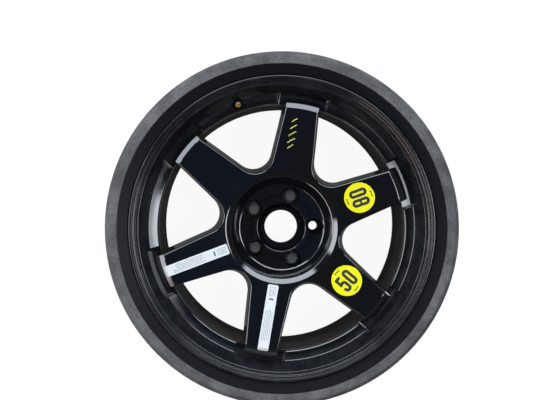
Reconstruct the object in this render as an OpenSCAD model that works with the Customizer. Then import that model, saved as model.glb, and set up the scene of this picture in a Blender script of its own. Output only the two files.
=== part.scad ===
// Space saver spare wheel: a one-piece cast wheel with six flat spokes, a folded (uninflated) tyre,
// four wheel bolts left in their holes, a snap-in valve with its core, and four stickers.
// The wheel lies on its back. The origin is the centre of the hub's mounting face and +Z runs out
// through the front. A profile is given as radius and height, and "depth" is counted down from the
// front plane of the wheel.

/* [Rim] */
// Diameter of the bead seat
rim_d = 462; // [440:1:480]
// Width between the two flanges, where the tyre sits
rim_w = 165.1; // [150:0.1:180]
// Depth of a flange, from its outer plane to the face that the tyre meets
flange_t = 13; // [11:0.5:15]
// Height of a flange above the bead seat
flange_h = 17.3; // [16:0.1:20]
// Distance from the middle plane of the rim to the mounting face
offset_et = 12; // [6:1:18]
// Depth of the well below the bead seat
well_depth = 17.5; // [15:0.5:19]
// Width of the floor of the well
well_w = 40; // [30:1:50]
// Wall of the well
well_wall = 7; // [5:0.5:9]
// Width of the ledge between the spokes, measured along the radius
ledge_w = 12.5; // [11:0.5:15]
// Depth of the ledge below the front plane
ledge_depth = 30.5; // [28:0.5:33]
// Inner radius of the rear edge
rear_bore_r = 223; // [215:0.5:225]

/* [Spokes] */
// Number of spokes
spoke_n = 6; // [5:1:7]
// Direction of the first spoke, in degrees
spoke_angle = 20.3; // [0:0.1:60]
// Width of a spoke's flat face at the hub shoulder
spoke_w_hub = 71; // [62:1:74]
// Width of a spoke's flat face at its outer end
spoke_w_end = 54.5; // [46:0.5:60]
// Distance from the end of a spoke's face to the inner wall of the barrel
spoke_end_gap = 10; // [8:0.5:14]
// Width of the sloped edge at the outer end of a spoke
end_slope_w = 9; // [6:0.5:10]
// Drop of that sloped edge
end_slope_drop = 5; // [4:0.5:8]
// Depth of the face below the front plane, at the outer end
face_depth_end = 8; // [6:0.5:12]
// Depth of the face below the front plane, at the hub shoulder
face_depth_hub = 20; // [16:0.5:24]
// Radius of the round corner of a window at the hub
window_corner_r = 30; // [24:0.5:34]
// Growth of that radius towards the back, for each millimetre that the walls widen
corner_spread = 0.5; // [0:0.1:1]
// Radius of the rounded edges of a spoke
spoke_edge_r = 3.5; // [2:0.25:5]
// Draft of the side walls, in degrees
spoke_draft = 5.5; // [3:0.25:7]
// Gap between the side of a spoke and the end of the ledge beside it
side_pocket_w = 11.5; // [8:0.5:13]
// Depth of that side pocket below the ledge
side_pocket_depth = 8.5; // [6:0.5:9]
// Depth of the back of the spokes below the front plane, at the outer end
spoke_back_depth = 70.5; // [66:0.5:76]
// Wall left over the hollow in the back of a spoke
spoke_skin = 8; // [7:0.5:12]
// Wall left beside that hollow
spoke_side_wall = 7; // [6:0.5:11]

/* [Hub] */
// Diameter of the centre bore
bore_d = 57.1; // [50:0.1:60]
// Length of the centre bore
bore_len = 14; // [11:0.5:16]
// Diameter of the bolt circle
bolt_circle_d = 112; // [108:0.5:116]
// Number of bolt holes
bolt_n = 5; // [4:1:5]
// Direction of the hole that holds no bolt, in degrees
bolt_angle = 1.5; // [0:0.1:72]
// Diameter of a bolt hole
bolt_hole_d = 15; // [14.8:0.1:16]
// Radius of the ball seat of a bolt
ball_r = 13; // [12.5:0.1:13.5]
// Web under the ball seat
seat_web = 8; // [6:0.5:10]
// Diameter of the well round a bolt head
bolt_pocket_d = 30; // [27.5:0.5:31]
// Depth of the hub floor below the front plane
hub_floor_depth = 39.5; // [37:0.5:42]
// Radius at which the hub floor ends
hub_floor_r = 71; // [70:0.5:74]
// Radius of the hub shoulder, where the face of the spokes starts
shoulder_r = 92; // [90:0.5:95]
// Radius of the mounting face
mount_face_r = 73; // [71:0.5:78]
// Depth of the arc-shaped hollows between the bolts
arc_hollow_depth = 5; // [3:0.5:7]
// Depth of the hollows between the bolts in the mounting face
back_hollow_depth = 20; // [10:1:24]

/* [Tyre] */
// Height of the folded tyre above the bead seat
tyre_h = 57.5; // [54:0.5:62]
// Height that the lettered band of the sidewall stands out past the front plane
band_proud = 1.5; // [0.5:0.25:3]
// Width of the tread
tread_w = 130; // [124:1:132]
// Thickness of the sidewall
side_t = 6.5; // [5.5:0.25:7.5]
// Thickness of the tread
tread_t = 8.5; // [7.5:0.25:10]
// Depth of the grooves in the tread
groove_depth = 3.5; // [2:0.25:5]
// Width of the grooves in the tread
groove_w = 5; // [3:0.5:8]
// Depth of the fold between shoulder and tread, below the shoulder
fold_depth = 20.5; // [16:0.5:24]

/* [Wheel bolts] */
// Diameter of the thread
thread_d = 14; // [13:0.1:14]
// Length of the shank under the ball
shank_len = 27; // [24:0.5:32]
// Diameter of the plain neck under the ball
neck_d = 12.6; // [11.5:0.1:12.9]
// Width across the flats of the head
hex_af = 17; // [16:0.5:19]
// Height of the hexagon
hex_h = 13.5; // [11:0.5:15]
// Diameter of the collar
collar_d = 25; // [24:0.25:25.5]

/* [Valve] */
// Direction of the valve, in degrees
valve_angle = 109.4; // [100:0.1:120]
// Lean of the valve towards the middle of the wheel, in degrees
valve_tilt = 14; // [8:0.5:18]
// Distance from the inner wall of the barrel out to the valve's axis at the ledge
valve_inset = 11.5; // [9.5:0.25:12.5]
// Diameter of the valve hole
valve_hole_d = 11.5; // [11:0.1:12]
// Wall left at the valve hole
valve_wall = 4; // [3:0.25:5]
// Diameter of the spot face round the valve
spot_d = 20; // [18:0.5:22]
// Diameter of the rubber body above the wall
rubber_d = 15.2; // [14:0.1:16]
// Length of the valve above the wall
valve_len = 33; // [30:0.5:36]
// Length of the free thread at the end of the stem
stem_thread_len = 12; // [9:0.5:13]
// Diameter of the thread at the end of the stem
stem_thread_d = 7.7; // [7.5:0.05:8]
// Diameter of the hole that takes the core
core_hole_d = 5.2; // [5:0.05:5.4]
// Travel of the pin when it is pressed
pin_travel = 1.2; // [0.8:0.1:1.5]
// Diameter of the pin
pin_d = 1.2; // [1:0.05:1.4]

/* [Stickers] */
// Diameter of the round yellow stickers
disc_d = 49.5; // [40:0.5:52]
// Gap between the hub shoulder and a round sticker
disc_gap = 19.75; // [8:0.25:40]
// Gap between the hub shoulder and a white sticker
strip_gap = 2.5; // [2:0.25:20]
// Reach of the white stickers over the sloped edge of the spokes
strip_reach = 5; // [0:0.25:6]
// Width of the white stickers
strip_w = 17.5; // [12:0.5:30]
// Radius of the corners of the white stickers
strip_corner_r = 2; // [0.5:0.25:4]
// Thickness of a sticker
sticker_t = 0.2; // [0.1:0.05:0.4]

/* [Hidden] */
$fn = 96;

// Clearance between the tyre and the rim, and between a bolt and its ball seat
tyre_gap = 0.2;
seat_gap = 0.12;
glue_gap = 0.1;
end_round_r = 3;
cut = 1;

// Planes and radii that follow from the sizes above
z_mid = -offset_et;
half_w = rim_w / 2 + flange_t;
z_front = z_mid + half_w;
seat_r = rim_d / 2;
flange_r = seat_r + flange_h;
heel_r = 6.5;
lip_r = 9.5;
seat_taper = tan(5);
seat_w = 21;
well_r = seat_r - well_depth;
well_in_r = well_r - well_wall;
ledge_out_r = well_in_r + 3 + ledge_w;
valve_r = well_in_r + valve_inset;
z_ledge = z_front - ledge_depth;
valve_slope = tan(valve_tilt);
hump_h = 1;
hump_depth = flange_t + heel_r + seat_w;
hump_r = seat_r - seat_w * seat_taper;
well_front_depth = hump_depth + 2 + (hump_r - well_r) * valve_slope;
hub_floor_z = z_front - hub_floor_depth;
spoke_end_r = well_in_r - spoke_end_gap;
z_face_end = z_front - face_depth_end;
z_face_hub = z_front - face_depth_hub;
face_slope = (z_face_end - z_face_hub) / (spoke_end_r - shoulder_r);
face_lean = atan(face_slope);
pocket_out_r = ledge_out_r + 3.5;
z_pocket = z_ledge - side_pocket_depth;
spoke_taper = (spoke_w_hub - spoke_w_end) / 2 / (spoke_end_r - shoulder_r);
bolt_r = bolt_circle_d / 2;
z_ball = seat_web + sqrt(pow(ball_r, 2) - pow(bolt_hole_d / 2, 2));
z_bolt_pocket = seat_web + 5;
tyre_r = seat_r + tyre_h;
fold_r = tyre_r - fold_depth;
disc_r = shoulder_r + disc_gap + disc_d / 2;
strip_in_r = shoulder_r + strip_gap;
strip_out_r = spoke_end_r + strip_reach;
tread_depth = half_w - tread_w / 2;

// Height of the spokes' face at a radius
function face_z(r) = z_face_hub + (r - shoulder_r) * face_slope;

// Unit vector
function unit(v) = v / norm(v);

// One corner of an outline: [x, y, radius] becomes an arc of n steps, or stays a point
function corner(a, b, c, n) =
    b[2] == 0 ? [[b[0], b[1]]] :
    let (
        p = [b[0], b[1]],
        u = unit([a[0], a[1]] - p),
        v = unit([c[0], c[1]] - p),
        half = acos(u * v) / 2,
        centre = p + unit(u + v) * b[2] / sin(half),
        start = p + u * b[2] / tan(half) - centre,
        turn = 180 - 2 * half,
        side = u[0] * v[1] - u[1] * v[0] > 0 ? -1 : 1
    )
    [for (i = [0 : n])
        let (t = side * turn * i / n)
        centre + [start[0] * cos(t) - start[1] * sin(t), start[0] * sin(t) + start[1] * cos(t)]];

// A closed outline whose corners are rounded
function rounded(pts, n = 4) =
    [for (i = [0 : len(pts) - 1])
        each corner(pts[(i + len(pts) - 1) % len(pts)], pts[i], pts[(i + 1) % len(pts)], n)];

// A point at a depth below the front plane, and the same point seen from the rear plane
function front(r, depth, round_r = 0) = [r, z_front - depth, round_r];
function rear(r, depth, round_r = 0) = [r, 2 * z_mid - z_front + depth, round_r];
function reversed(list) = [for (i = [len(list) - 1 : -1 : 0]) list[i]];

// Side of the rim that the tyre meets, from a flange's edge down to the well
function tyre_side_front() = [
    front(flange_r, 2, 1.5),
    front(flange_r, 7.5, 2),
    front(seat_r + 15, flange_t, 8),
    front(seat_r, flange_t, heel_r),
    front(hump_r, hump_depth - 4, 1.5),
    front(hump_r + hump_h, hump_depth - 1, 1),
    front(hump_r, hump_depth + 2, 1.5),
    front(well_r, well_front_depth, 3)
];
function tyre_side_rear() = [
    rear(well_r, rim_w + 2 * flange_t - well_front_depth - well_w, 3),
    rear(hump_r - 3, hump_depth + 22, 8),
    rear(hump_r, hump_depth + 2, 1.5),
    rear(hump_r + hump_h, hump_depth - 1, 1),
    rear(hump_r, hump_depth - 4, 1.5),
    rear(seat_r, flange_t, heel_r),
    rear(seat_r + 15, flange_t, 8),
    rear(flange_r, 7.5, 2),
    rear(flange_r, 2, 1.5)
];

// Side of the rim that shows, from the front edge in over the ledge and out to the rear edge
function air_side() = [
    front(seat_r + 15.5, 0, 1.5),
    front(seat_r + 11.8, 0.4, 0.8),
    front(seat_r + 10.8, 3.4, 0.8),
    front(seat_r + 8.2, 4, 0.8),
    front(seat_r + 7.2, 6.8, 0.8),
    front(seat_r + 2.4, 7.6, 1.2),
    front(ledge_out_r, ledge_depth, 2.5),
    [well_in_r, z_ledge - (ledge_out_r - well_in_r) * valve_slope, 3],
    front(well_in_r, well_front_depth + well_w, 10),
    rear(rear_bore_r - 3.5, hump_depth + 24, 14),
    rear(rear_bore_r, 4),
    rear(rear_bore_r + 3, 0),
    rear(seat_r + 14, 0, 1.5)
];

module rim_ring() {
    rotate_extrude($fn = 180)
        polygon(rounded(concat(tyre_side_front(), tyre_side_rear(), reversed(air_side()))));
}

// Outline of the spokes and hub seen from the front, widened on each side by grow
function spoke_point(s, half_angle, grow) =
    let (h = spoke_w_hub / 2 - (s - shoulder_r) * spoke_taper + grow)
    [s * cos(half_angle) + h * sin(half_angle), s * sin(half_angle) - h * cos(half_angle)];
function window_outline(grow) =
    let (
        half_angle = 180 / spoke_n,
        root = sqrt(1 + pow(spoke_taper, 2)),
        round_r = window_corner_r + (grow > 0 ? corner_spread : -1) * grow,
        lead = spoke_w_hub / 2 + grow + spoke_taper * shoulder_r,
        centre_x = (round_r * root + lead) / (sin(half_angle) + spoke_taper * cos(half_angle)),
        facing = atan2(cos(half_angle) - spoke_taper * sin(half_angle),
            -(sin(half_angle) + spoke_taper * cos(half_angle))),
        far = spoke_point(well_r + 5, half_angle, grow),
        steps = 12
    )
    concat(
        [[far[0], -far[1]]],
        [for (i = [0 : steps])
            let (a = -facing + 2 * (facing - 180) * i / steps)
            [centre_x + round_r * cos(a), round_r * sin(a)]],
        [far]
    );
function turned(p, a) = [p[0] * cos(a) - p[1] * sin(a), p[0] * sin(a) + p[1] * cos(a)];
function star_outline(grow) =
    [for (k = [0 : spoke_n - 1])
        each [for (p = window_outline(grow)) turned(p, (k + 0.5) * 360 / spoke_n)]];

// Levels of the side walls: [widening, height below the face], or a flat level where flat is true
edge_steps = [0, 30, 60];
wall_foot_z = z_front - spoke_back_depth - 38;
wall_h = z_face_end - wall_foot_z;
star_levels = concat(
    [[wall_h * tan(spoke_draft), wall_foot_z, true]],
    [for (a = edge_steps) [-spoke_edge_r * (1 - cos(a)), -spoke_edge_r * (1 - sin(a)), false]],
    [[-spoke_edge_r * 1.6, spoke_edge_r * 0.3, false]],
    [[-spoke_edge_r * 1.6, z_front + 10, true]]
);
function star_ring(level) =
    [for (p = star_outline(level[0])) [p[0], p[1], level[2] ? level[1] : face_z(norm(p)) + level[1]]];

module spoke_star() {
    rings = [for (level = star_levels) star_ring(level)];
    count = len(rings[0]);
    last = len(rings) - 1;
    polyhedron(
        points = [for (ring = rings) each ring],
        faces = concat(
            [[for (i = [0 : count - 1]) i]],
            [[for (i = [count - 1 : -1 : 0]) last * count + i]],
            [for (k = [0 : last - 1])
                for (i = [0 : count - 1])
                    let (j = (i + 1) % count)
                    [k * count + i, (k + 1) * count + i, (k + 1) * count + j, k * count + j]]
        )
    );
}

// Section of the hub and spokes: bore, cap recess, hub floor, bowl, face, sloped end and back
function disc_profile() = rounded([
    [bore_d / 2, 0.5, 0],
    [bore_d / 2, bore_len, 0],
    [bore_d / 2 + 5, bore_len, 0],
    [bore_d / 2 + 5, hub_floor_z - 9, 1],
    [bore_d / 2 + 12, hub_floor_z, 1],
    [hub_floor_r, hub_floor_z, 5],
    [shoulder_r - 7, z_face_hub - 4, 7],
    [shoulder_r, z_face_hub, 6],
    [spoke_end_r, z_face_end, end_round_r],
    [spoke_end_r + end_slope_w, z_face_end - end_slope_drop, 2],
    [pocket_out_r - 8, z_pocket, 0],
    [pocket_out_r - 8, z_pocket - 4, 0],
    [well_in_r + 3.5, z_pocket - 8, 0],
    [well_in_r + 3.5, z_front - spoke_back_depth - 9, 0],
    [well_in_r - 12, z_front - spoke_back_depth, 12],
    [shoulder_r + 8, z_front - spoke_back_depth + 5, 3],
    [shoulder_r + 4, z_face_hub - spoke_skin - 13.5, 4],
    [mount_face_r + 9, z_face_hub - spoke_skin - 17.5, 4],
    [mount_face_r + 4, 4, 2],
    [mount_face_r, 0, 0],
    [bore_d / 2 + 0.5, 0, 0]
]);

module spoke_disc() {
    intersection() {
        rotate_extrude($fn = 180)
            polygon(disc_profile());
        rotate([0, 0, spoke_angle])
            spoke_star();
    }
}

// Recess behind the outer end of a spoke, with a side pocket on each side
module end_recess() {
    reach = spoke_w_end / 2 + side_pocket_w + (z_face_end - z_ledge) * tan(spoke_draft);
    intersection() {
        translate([0, 0, z_pocket])
            cylinder(r = pocket_out_r, h = side_pocket_depth + 6, $fn = 180);
        translate([well_in_r - 10, 0, z_pocket])
            rotate([90, 0, 90])
                linear_extrude(40)
                    polygon(rounded([
                        [-reach - 3, 40, 0],
                        [-reach - 3, side_pocket_depth + 1, 0],
                        [-reach, 0, 3],
                        [reach, 0, 3],
                        [reach + 3, side_pocket_depth + 1, 0],
                        [reach + 3, 40, 0]
                    ]));
    }
}

// Hollow in the back of a spoke, with its roof parallel to the face
module back_hollow() {
    start = 19;
    stop = spoke_end_r - shoulder_r;
    half_start = spoke_w_hub / 2 - spoke_side_wall - start * spoke_taper;
    half_stop = spoke_w_hub / 2 - spoke_side_wall - stop * spoke_taper;
    translate([shoulder_r, 0, z_face_hub])
        rotate([0, -face_lean, 0])
            translate([0, 0, -spoke_skin - 90])
                linear_extrude(90)
                    polygon(rounded([
                        [start, -half_start, 9],
                        [stop, -half_stop, 9],
                        [stop, half_stop, 9],
                        [start, half_start, 9]
                    ]));
}

module bolt_hole() {
    translate([0, 0, -cut])
        cylinder(d = bolt_hole_d, h = hub_floor_z + 2 * cut, $fn = 48);
    intersection() {
        translate([0, 0, z_ball])
            sphere(r = ball_r, $fn = 64);
        cylinder(r = ball_r, h = z_bolt_pocket + 0.5, $fn = 48);
    }
    translate([0, 0, z_bolt_pocket])
        cylinder(d = bolt_pocket_d, h = hub_floor_z + cut, $fn = 64);
}

// Arc-shaped hollow of the hub, on one side of the floor
module arc_hollow(in_r, out_r, half_angle, z, h) {
    rotate([0, 0, -half_angle])
        rotate_extrude(angle = 2 * half_angle, $fn = 120)
            translate([in_r, z])
                square([out_r - in_r, h]);
}

// Places that follow the bolts and the spokes
module at_bolt(i) {
    rotate([0, 0, bolt_angle + i * 360 / bolt_n])
        translate([bolt_r, 0, 0])
            children();
}
module at_spoke(i) {
    rotate([0, 0, spoke_angle + i * 360 / spoke_n])
        children();
}

// The valve's own frame: its origin is the floor of the spot face and +Z runs out along the stem
spot_depth = (z_ledge - (z_front - hump_depth - 2) + (hump_r - ledge_out_r) * valve_slope)
    * cos(valve_tilt) - valve_wall;
module at_valve() {
    rotate([0, 0, valve_angle])
        translate([valve_r, 0, z_ledge - (ledge_out_r - valve_r) * valve_slope])
            rotate([0, -valve_tilt, 0])
                translate([0, 0, -spot_depth])
                    children();
}

module wheel_casting() {
    color("#15161a")
        difference() {
            union() {
                difference() {
                    rim_ring();
                    for (i = [0 : spoke_n - 1])
                        at_spoke(i)
                            end_recess();
                }
                spoke_disc();
            }
            for (i = [0 : spoke_n - 1])
                at_spoke(i)
                    back_hollow();
            for (i = [0 : bolt_n - 1]) {
                at_bolt(i)
                    bolt_hole();
                rotate([0, 0, bolt_angle + (i + 0.5) * 360 / bolt_n]) {
                    arc_hollow(bolt_r - 7.5, bolt_r + 1.5, 19, hub_floor_z - arc_hollow_depth, 20);
                    arc_hollow(bolt_r - 14, bolt_r + 9, 17, -cut, back_hollow_depth + cut);
                }
            }
            at_valve() {
                translate([0, 0, -valve_wall - cut])
                    cylinder(d = valve_hole_d, h = valve_wall + 2 * cut, $fn = 48);
                cylinder(d = spot_d, h = 30, $fn = 64);
                translate([0, 0, -valve_wall - 12])
                    cylinder(d = base_d + 1, h = 12, $fn = 64);
            }
        }
}

// Tyre: outer skin of one half, from the toe of the bead over the folded shoulder to the tread
base_d = 18;
band_r = seat_r + 35.5;
function tyre_outer() = [
    front(hump_r + 0.6 + tyre_gap, hump_depth - 5, 2),
    front(seat_r + tyre_gap, flange_t + tyre_gap, heel_r - tyre_gap),
    front(seat_r + 15 + tyre_gap, flange_t + tyre_gap, 8 + tyre_gap),
    front(flange_r + 1, 8, 1.5),
    front(flange_r + 2, 5, 1.5),
    front(band_r - 0.8, 0.8 - band_proud, 0),
    front(band_r, -band_proud, 0),
    front(tyre_r - 9, 1.2 - band_proud, 5),
    front(tyre_r, 9, 7),
    front(tyre_r, 19, 6),
    front(fold_r, tread_depth - 5, 3),
    front(tyre_r - 4.5, tread_depth, 3)
];
// Inner skin of the same half
function tyre_inner() = [
    front(hump_r + 7, hump_depth - 4, 3),
    front(seat_r + 14, flange_t + 13, 6),
    front(flange_r + 5, 5 + side_t * 1.5, 3),
    front(band_r, side_t * 1.25 - band_proud, 3),
    front(tyre_r - side_t, side_t * 1.25 - band_proud + 1, 2.2),
    front(tyre_r - side_t, 19 - side_t, 2.2),
    front(fold_r - side_t, tread_depth - 5 - side_t * 0.7, 4),
    front(fold_r - side_t, tread_depth - 5 + side_t * 0.7, 4),
    front(tyre_r - 4.5 - tread_t, tread_depth + 6, 4)
];
// Tread surface with its grooves, from the front edge to the rear edge
groove_depths = [for (k = [0.5 : 1 : 3.5]) tread_depth + 13 + k * (tread_w - 26) / 4];
crown_h = 2;
function crown_r(depth) = tyre_r - 4 + crown_h * (1 - pow((depth - half_w) / (tread_w / 2), 2));
function tread() =
    [for (d = groove_depths)
        each [
            front(crown_r(d), d - groove_w / 2),
            front(crown_r(d) - groove_depth, d - groove_w / 2 + 0.8),
            front(crown_r(d) - groove_depth, d + groove_w / 2 - 0.8),
            front(crown_r(d), d + groove_w / 2)
        ]];
function mirrored(list) = [for (p = list) [p[0], 2 * z_mid - p[1], p[2]]];

module tyre() {
    color("#2b2c2e")
        rotate_extrude($fn = 180)
            polygon(rounded(concat(
                tyre_outer(),
                tread(),
                reversed(mirrored(tyre_outer())),
                mirrored(tyre_inner()),
                reversed(tyre_inner())
            )));
}

module wheel_bolt() {
    neck_top = z_ball - ball_r + 1;
    z_end = seat_web - shank_len;
    z_collar = z_ball - 3;
    bolt_ball_r = ball_r - seat_gap;
    color("#3c3d3f") {
        difference() {
            union() {
                intersection() {
                    translate([0, 0, z_ball])
                        sphere(r = bolt_ball_r, $fn = 64);
                    cylinder(d = collar_d, h = z_collar, $fn = 64);
                }
                translate([0, 0, z_collar])
                    cylinder(d = collar_d, h = 2, $fn = 64);
                translate([0, 0, z_collar + 2])
                    cylinder(d1 = collar_d, d2 = collar_d - 4, h = 1.5, $fn = 64);
                intersection() {
                    translate([0, 0, z_collar])
                        cylinder(d = hex_af / cos(30), h = hex_h + 2, $fn = 6);
                    rotate_extrude($fn = 64)
                        polygon([
                            [0, z_collar],
                            [hex_af, z_collar],
                            [hex_af, z_collar + hex_h - 3],
                            [hex_af / 2 - 0.3, z_collar + hex_h + 2],
                            [0, z_collar + hex_h + 2]
                        ]);
                }
                rotate_extrude($fn = 64)
                    polygon([
                        [0, z_end],
                        [thread_d / 2 - 1.6, z_end],
                        [thread_d / 2, z_end + 1.6],
                        [thread_d / 2, -0.5],
                        [neck_d / 2, 0.5],
                        [neck_d / 2, neck_top + 4],
                        [0, neck_top + 4]
                    ]);
            }
            translate([0, 0, z_collar + hex_h + 1.2])
                cylinder(d1 = 9, d2 = 11, h = 2, $fn = 48);
        }
    }
}
module wheel_bolt_1() { at_bolt(1) rotate([0, 0, 8]) wheel_bolt(); }
module wheel_bolt_2() { at_bolt(2) rotate([0, 0, 21]) wheel_bolt(); }
module wheel_bolt_3() { at_bolt(3) rotate([0, 0, 40]) wheel_bolt(); }
module wheel_bolt_4() { at_bolt(4) rotate([0, 0, 2]) wheel_bolt(); }

// Valve: heights and radii along its own axis
stem_wall = 0.1;
stem_low_r = 2.6;
stem_foot_z = -8;
neck_z = valve_len - stem_thread_len;
throat_r = 2.05;
core_top_z = valve_len - 0.6;
core_head_z = core_top_z - 4.5;
core_seat_z = core_head_z - 4;
core_foot_z = core_seat_z - 9;
pin_top_z = valve_len - 0.4;
pin_bore_r = pin_d / 2 + 0.06;
spring_room_r = 1.45;
spring_floor_z = core_foot_z + 2.5;
spring_top_z = core_seat_z - 1.2;
cup_h = 1.4;

module valve_rubber() {
    color("#1b1b1c")
        at_valve()
            rotate_extrude($fn = 64)
                polygon(rounded([
                    [stem_low_r + stem_wall, -9, 0],
                    [base_d / 2 - 1, -9, 1],
                    [base_d / 2, -valve_wall - 0.05, 0],
                    [valve_hole_d / 2, -valve_wall - 0.05, 0],
                    [valve_hole_d / 2, 0.05, 0],
                    [rubber_d / 2, 0.05, 0],
                    [rubber_d / 2, 3, 1],
                    [rubber_d / 2 - 1.3, 7, 2],
                    [stem_thread_d / 2 + 1.6, neck_z - 1, 1],
                    [stem_thread_d / 2 - 0.5, neck_z - 1, 0],
                    [stem_thread_d / 2 - 0.5, neck_z - 8, 0],
                    [stem_low_r + stem_wall, neck_z - 10, 0]
                ], 3));
}

module valve_stem() {
    low_bore_r = 1.4;
    color("#c9a24b")
        at_valve()
            rotate_extrude($fn = 64)
                polygon([
                    [low_bore_r, stem_foot_z],
                    [stem_low_r, stem_foot_z],
                    [stem_low_r, neck_z - 10 + stem_wall],
                    [stem_thread_d / 2 - 0.6, neck_z - 8 + stem_wall],
                    [stem_thread_d / 2 - 0.6, neck_z],
                    [stem_thread_d / 2, neck_z + 0.4],
                    [stem_thread_d / 2, valve_len - 0.8],
                    [stem_thread_d / 2 - 0.8, valve_len],
                    [core_hole_d / 2 + 0.3, valve_len],
                    [core_hole_d / 2, valve_len - 0.4],
                    [core_hole_d / 2, core_head_z - 0.6],
                    [throat_r, core_head_z - 2],
                    [throat_r, core_foot_z - cup_h - pin_travel - 2],
                    [low_bore_r, core_foot_z - cup_h - pin_travel - 3]
                ]);
}

// Housing of the core: threaded head with two flats, and the barrel below it
module core_housing() {
    head_r = core_hole_d / 2 - 0.08;
    barrel_r = throat_r - 0.12;
    color("#b9984e")
        at_valve()
            difference() {
                rotate_extrude($fn = 48)
                    polygon([
                        [pin_bore_r, core_foot_z],
                        [barrel_r, core_foot_z],
                        [barrel_r, core_seat_z - 1.4],
                        [barrel_r - 0.45, core_seat_z - 1.4],
                        [barrel_r - 0.45, core_seat_z + 0.6],
                        [barrel_r - 0.1, core_seat_z + 0.6],
                        [barrel_r - 0.1, core_head_z - 1.2],
                        [head_r, core_head_z],
                        [head_r, core_top_z],
                        [head_r - 0.7, core_top_z],
                        [head_r - 0.9, core_head_z + 1],
                        [pin_bore_r, core_head_z + 1],
                        [pin_bore_r, spring_top_z],
                        [spring_room_r, spring_top_z],
                        [spring_room_r, spring_floor_z],
                        [pin_bore_r, spring_floor_z]
                    ]);
                for (side = [-1, 1])
                    translate([side * (head_r + 0.6) - 1, -3, core_top_z - 2.2])
                        cube([2, 6, 3]);
            }
}

module core_gasket() {
    color("#c23a2e")
        at_valve()
            rotate_extrude($fn = 48)
                polygon([
                    [throat_r - 0.55, core_seat_z - 1.3],
                    [throat_r - 0.02, core_seat_z - 1.3],
                    [throat_r - 0.02, core_seat_z + 0.2],
                    [throat_r - 0.2, core_seat_z + 0.5],
                    [throat_r - 0.55, core_seat_z + 0.5]
                ]);
}

// Pin: it runs through the housing, with a collar over the spring and a cup under the housing
module core_pin() {
    collar_z = spring_top_z - 0.7;
    color("#cfc9b4")
        at_valve()
            rotate_extrude($fn = 32)
                polygon([
                    [0, core_foot_z - cup_h - 0.6],
                    [throat_r - 0.5, core_foot_z - cup_h - 0.6],
                    [throat_r - 0.5, core_foot_z - cup_h],
                    [pin_d / 2, core_foot_z - cup_h],
                    [pin_d / 2, collar_z],
                    [spring_room_r - 0.1, collar_z],
                    [spring_room_r - 0.1, collar_z + 0.5],
                    [pin_d / 2, collar_z + 0.5],
                    [pin_d / 2, pin_top_z - 0.3],
                    [pin_d / 2 - 0.3, pin_top_z],
                    [0, pin_top_z]
                ]);
}

module core_seal() {
    color("#1f1f21")
        at_valve()
            rotate_extrude($fn = 48)
                polygon([
                    [pin_d / 2 + 0.02, core_foot_z - cup_h + 0.02],
                    [throat_r - 0.4, core_foot_z - cup_h + 0.02],
                    [throat_r - 0.4, core_foot_z - 0.3],
                    [throat_r - 0.7, core_foot_z - 0.05],
                    [pin_d / 2 + 0.02, core_foot_z - 0.05]
                ]);
}

// Spring of the core: a round wire carried along a helix round the pin
spring_wire_r = 0.16;
spring_mid_r = 1.1;
spring_turns = 6;
spring_sides = 6;
spring_steps = 16;
spring_z0 = spring_floor_z + spring_wire_r + 0.02;
spring_z1 = spring_top_z - 0.7 - spring_wire_r - 0.02;
function spring_ring(t) =
    let (a = 360 * spring_turns * t, z = spring_z0 + (spring_z1 - spring_z0) * t)
    [for (i = [0 : spring_sides - 1])
        let (b = 360 * i / spring_sides, r = spring_mid_r + spring_wire_r * cos(b))
        [r * cos(a), r * sin(a), z + spring_wire_r * sin(b)]];
module core_spring() {
    rings = spring_turns * spring_steps;
    color("#9a9a9a")
        at_valve()
            polyhedron(
                points = [for (k = [0 : rings]) each spring_ring(k / rings)],
                faces = concat(
                    [[for (i = [spring_sides - 1 : -1 : 0]) i]],
                    [[for (i = [0 : spring_sides - 1]) rings * spring_sides + i]],
                    [for (k = [0 : rings - 1])
                        for (i = [0 : spring_sides - 1])
                            let (j = (i + 1) % spring_sides)
                            [
                                k * spring_sides + i,
                                k * spring_sides + j,
                                (k + 1) * spring_sides + j,
                                (k + 1) * spring_sides + i
                            ]]
                )
            );
}

// Stickers: a thin skin over the spokes and their outer edge, cut to the outline of each sticker
end_slope = -end_slope_drop / end_slope_w;
function skin_path(e) =
    let (
        face_rise = e * sqrt(1 + pow(face_slope, 2)),
        end_rise = e * sqrt(1 + pow(end_slope, 2)),
        shift = (end_rise - face_rise) / (face_slope - end_slope),
        r_in = shoulder_r + 1.5,
        r_out = spoke_end_r + end_slope_w - 1.5
    )
    concat(
        [[r_in, face_z(r_in) + face_rise]],
        corner(
            [r_in, face_z(r_in) + face_rise],
            [spoke_end_r + shift, face_z(spoke_end_r + shift) + face_rise, end_round_r + e],
            [r_out, z_face_end + end_slope * (r_out - spoke_end_r) + end_rise],
            4
        ),
        [[r_out, z_face_end + end_slope * (r_out - spoke_end_r) + end_rise]]
    );
module sticker_skin() {
    rotate_extrude($fn = 180)
        polygon(concat(skin_path(glue_gap), reversed(skin_path(glue_gap + sticker_t))));
}
module round_sticker(i, aside) {
    color("#f4ef1e")
        intersection() {
            sticker_skin();
            at_spoke(i)
                translate([disc_r, aside, 0])
                    cylinder(d = disc_d, h = z_front + 10, $fn = 64);
        }
}
module white_sticker(i, aside) {
    half_w = strip_w / 2;
    color("#f2f2ee")
        intersection() {
            sticker_skin();
            at_spoke(i)
                translate([0, aside, 0])
                    linear_extrude(z_front + 10)
                        polygon(rounded([
                            [strip_in_r, -half_w, strip_corner_r],
                            [strip_out_r, -half_w, strip_corner_r],
                            [strip_out_r, half_w, strip_corner_r],
                            [strip_in_r, half_w, strip_corner_r]
                        ]));
        }
}
module round_sticker_1() { round_sticker(0, 2.6); }
module round_sticker_2() { round_sticker(5, 1.7); }
module white_sticker_1() { white_sticker(3, 1.3); }
module white_sticker_2() { white_sticker(4, 2.6); }

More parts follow.
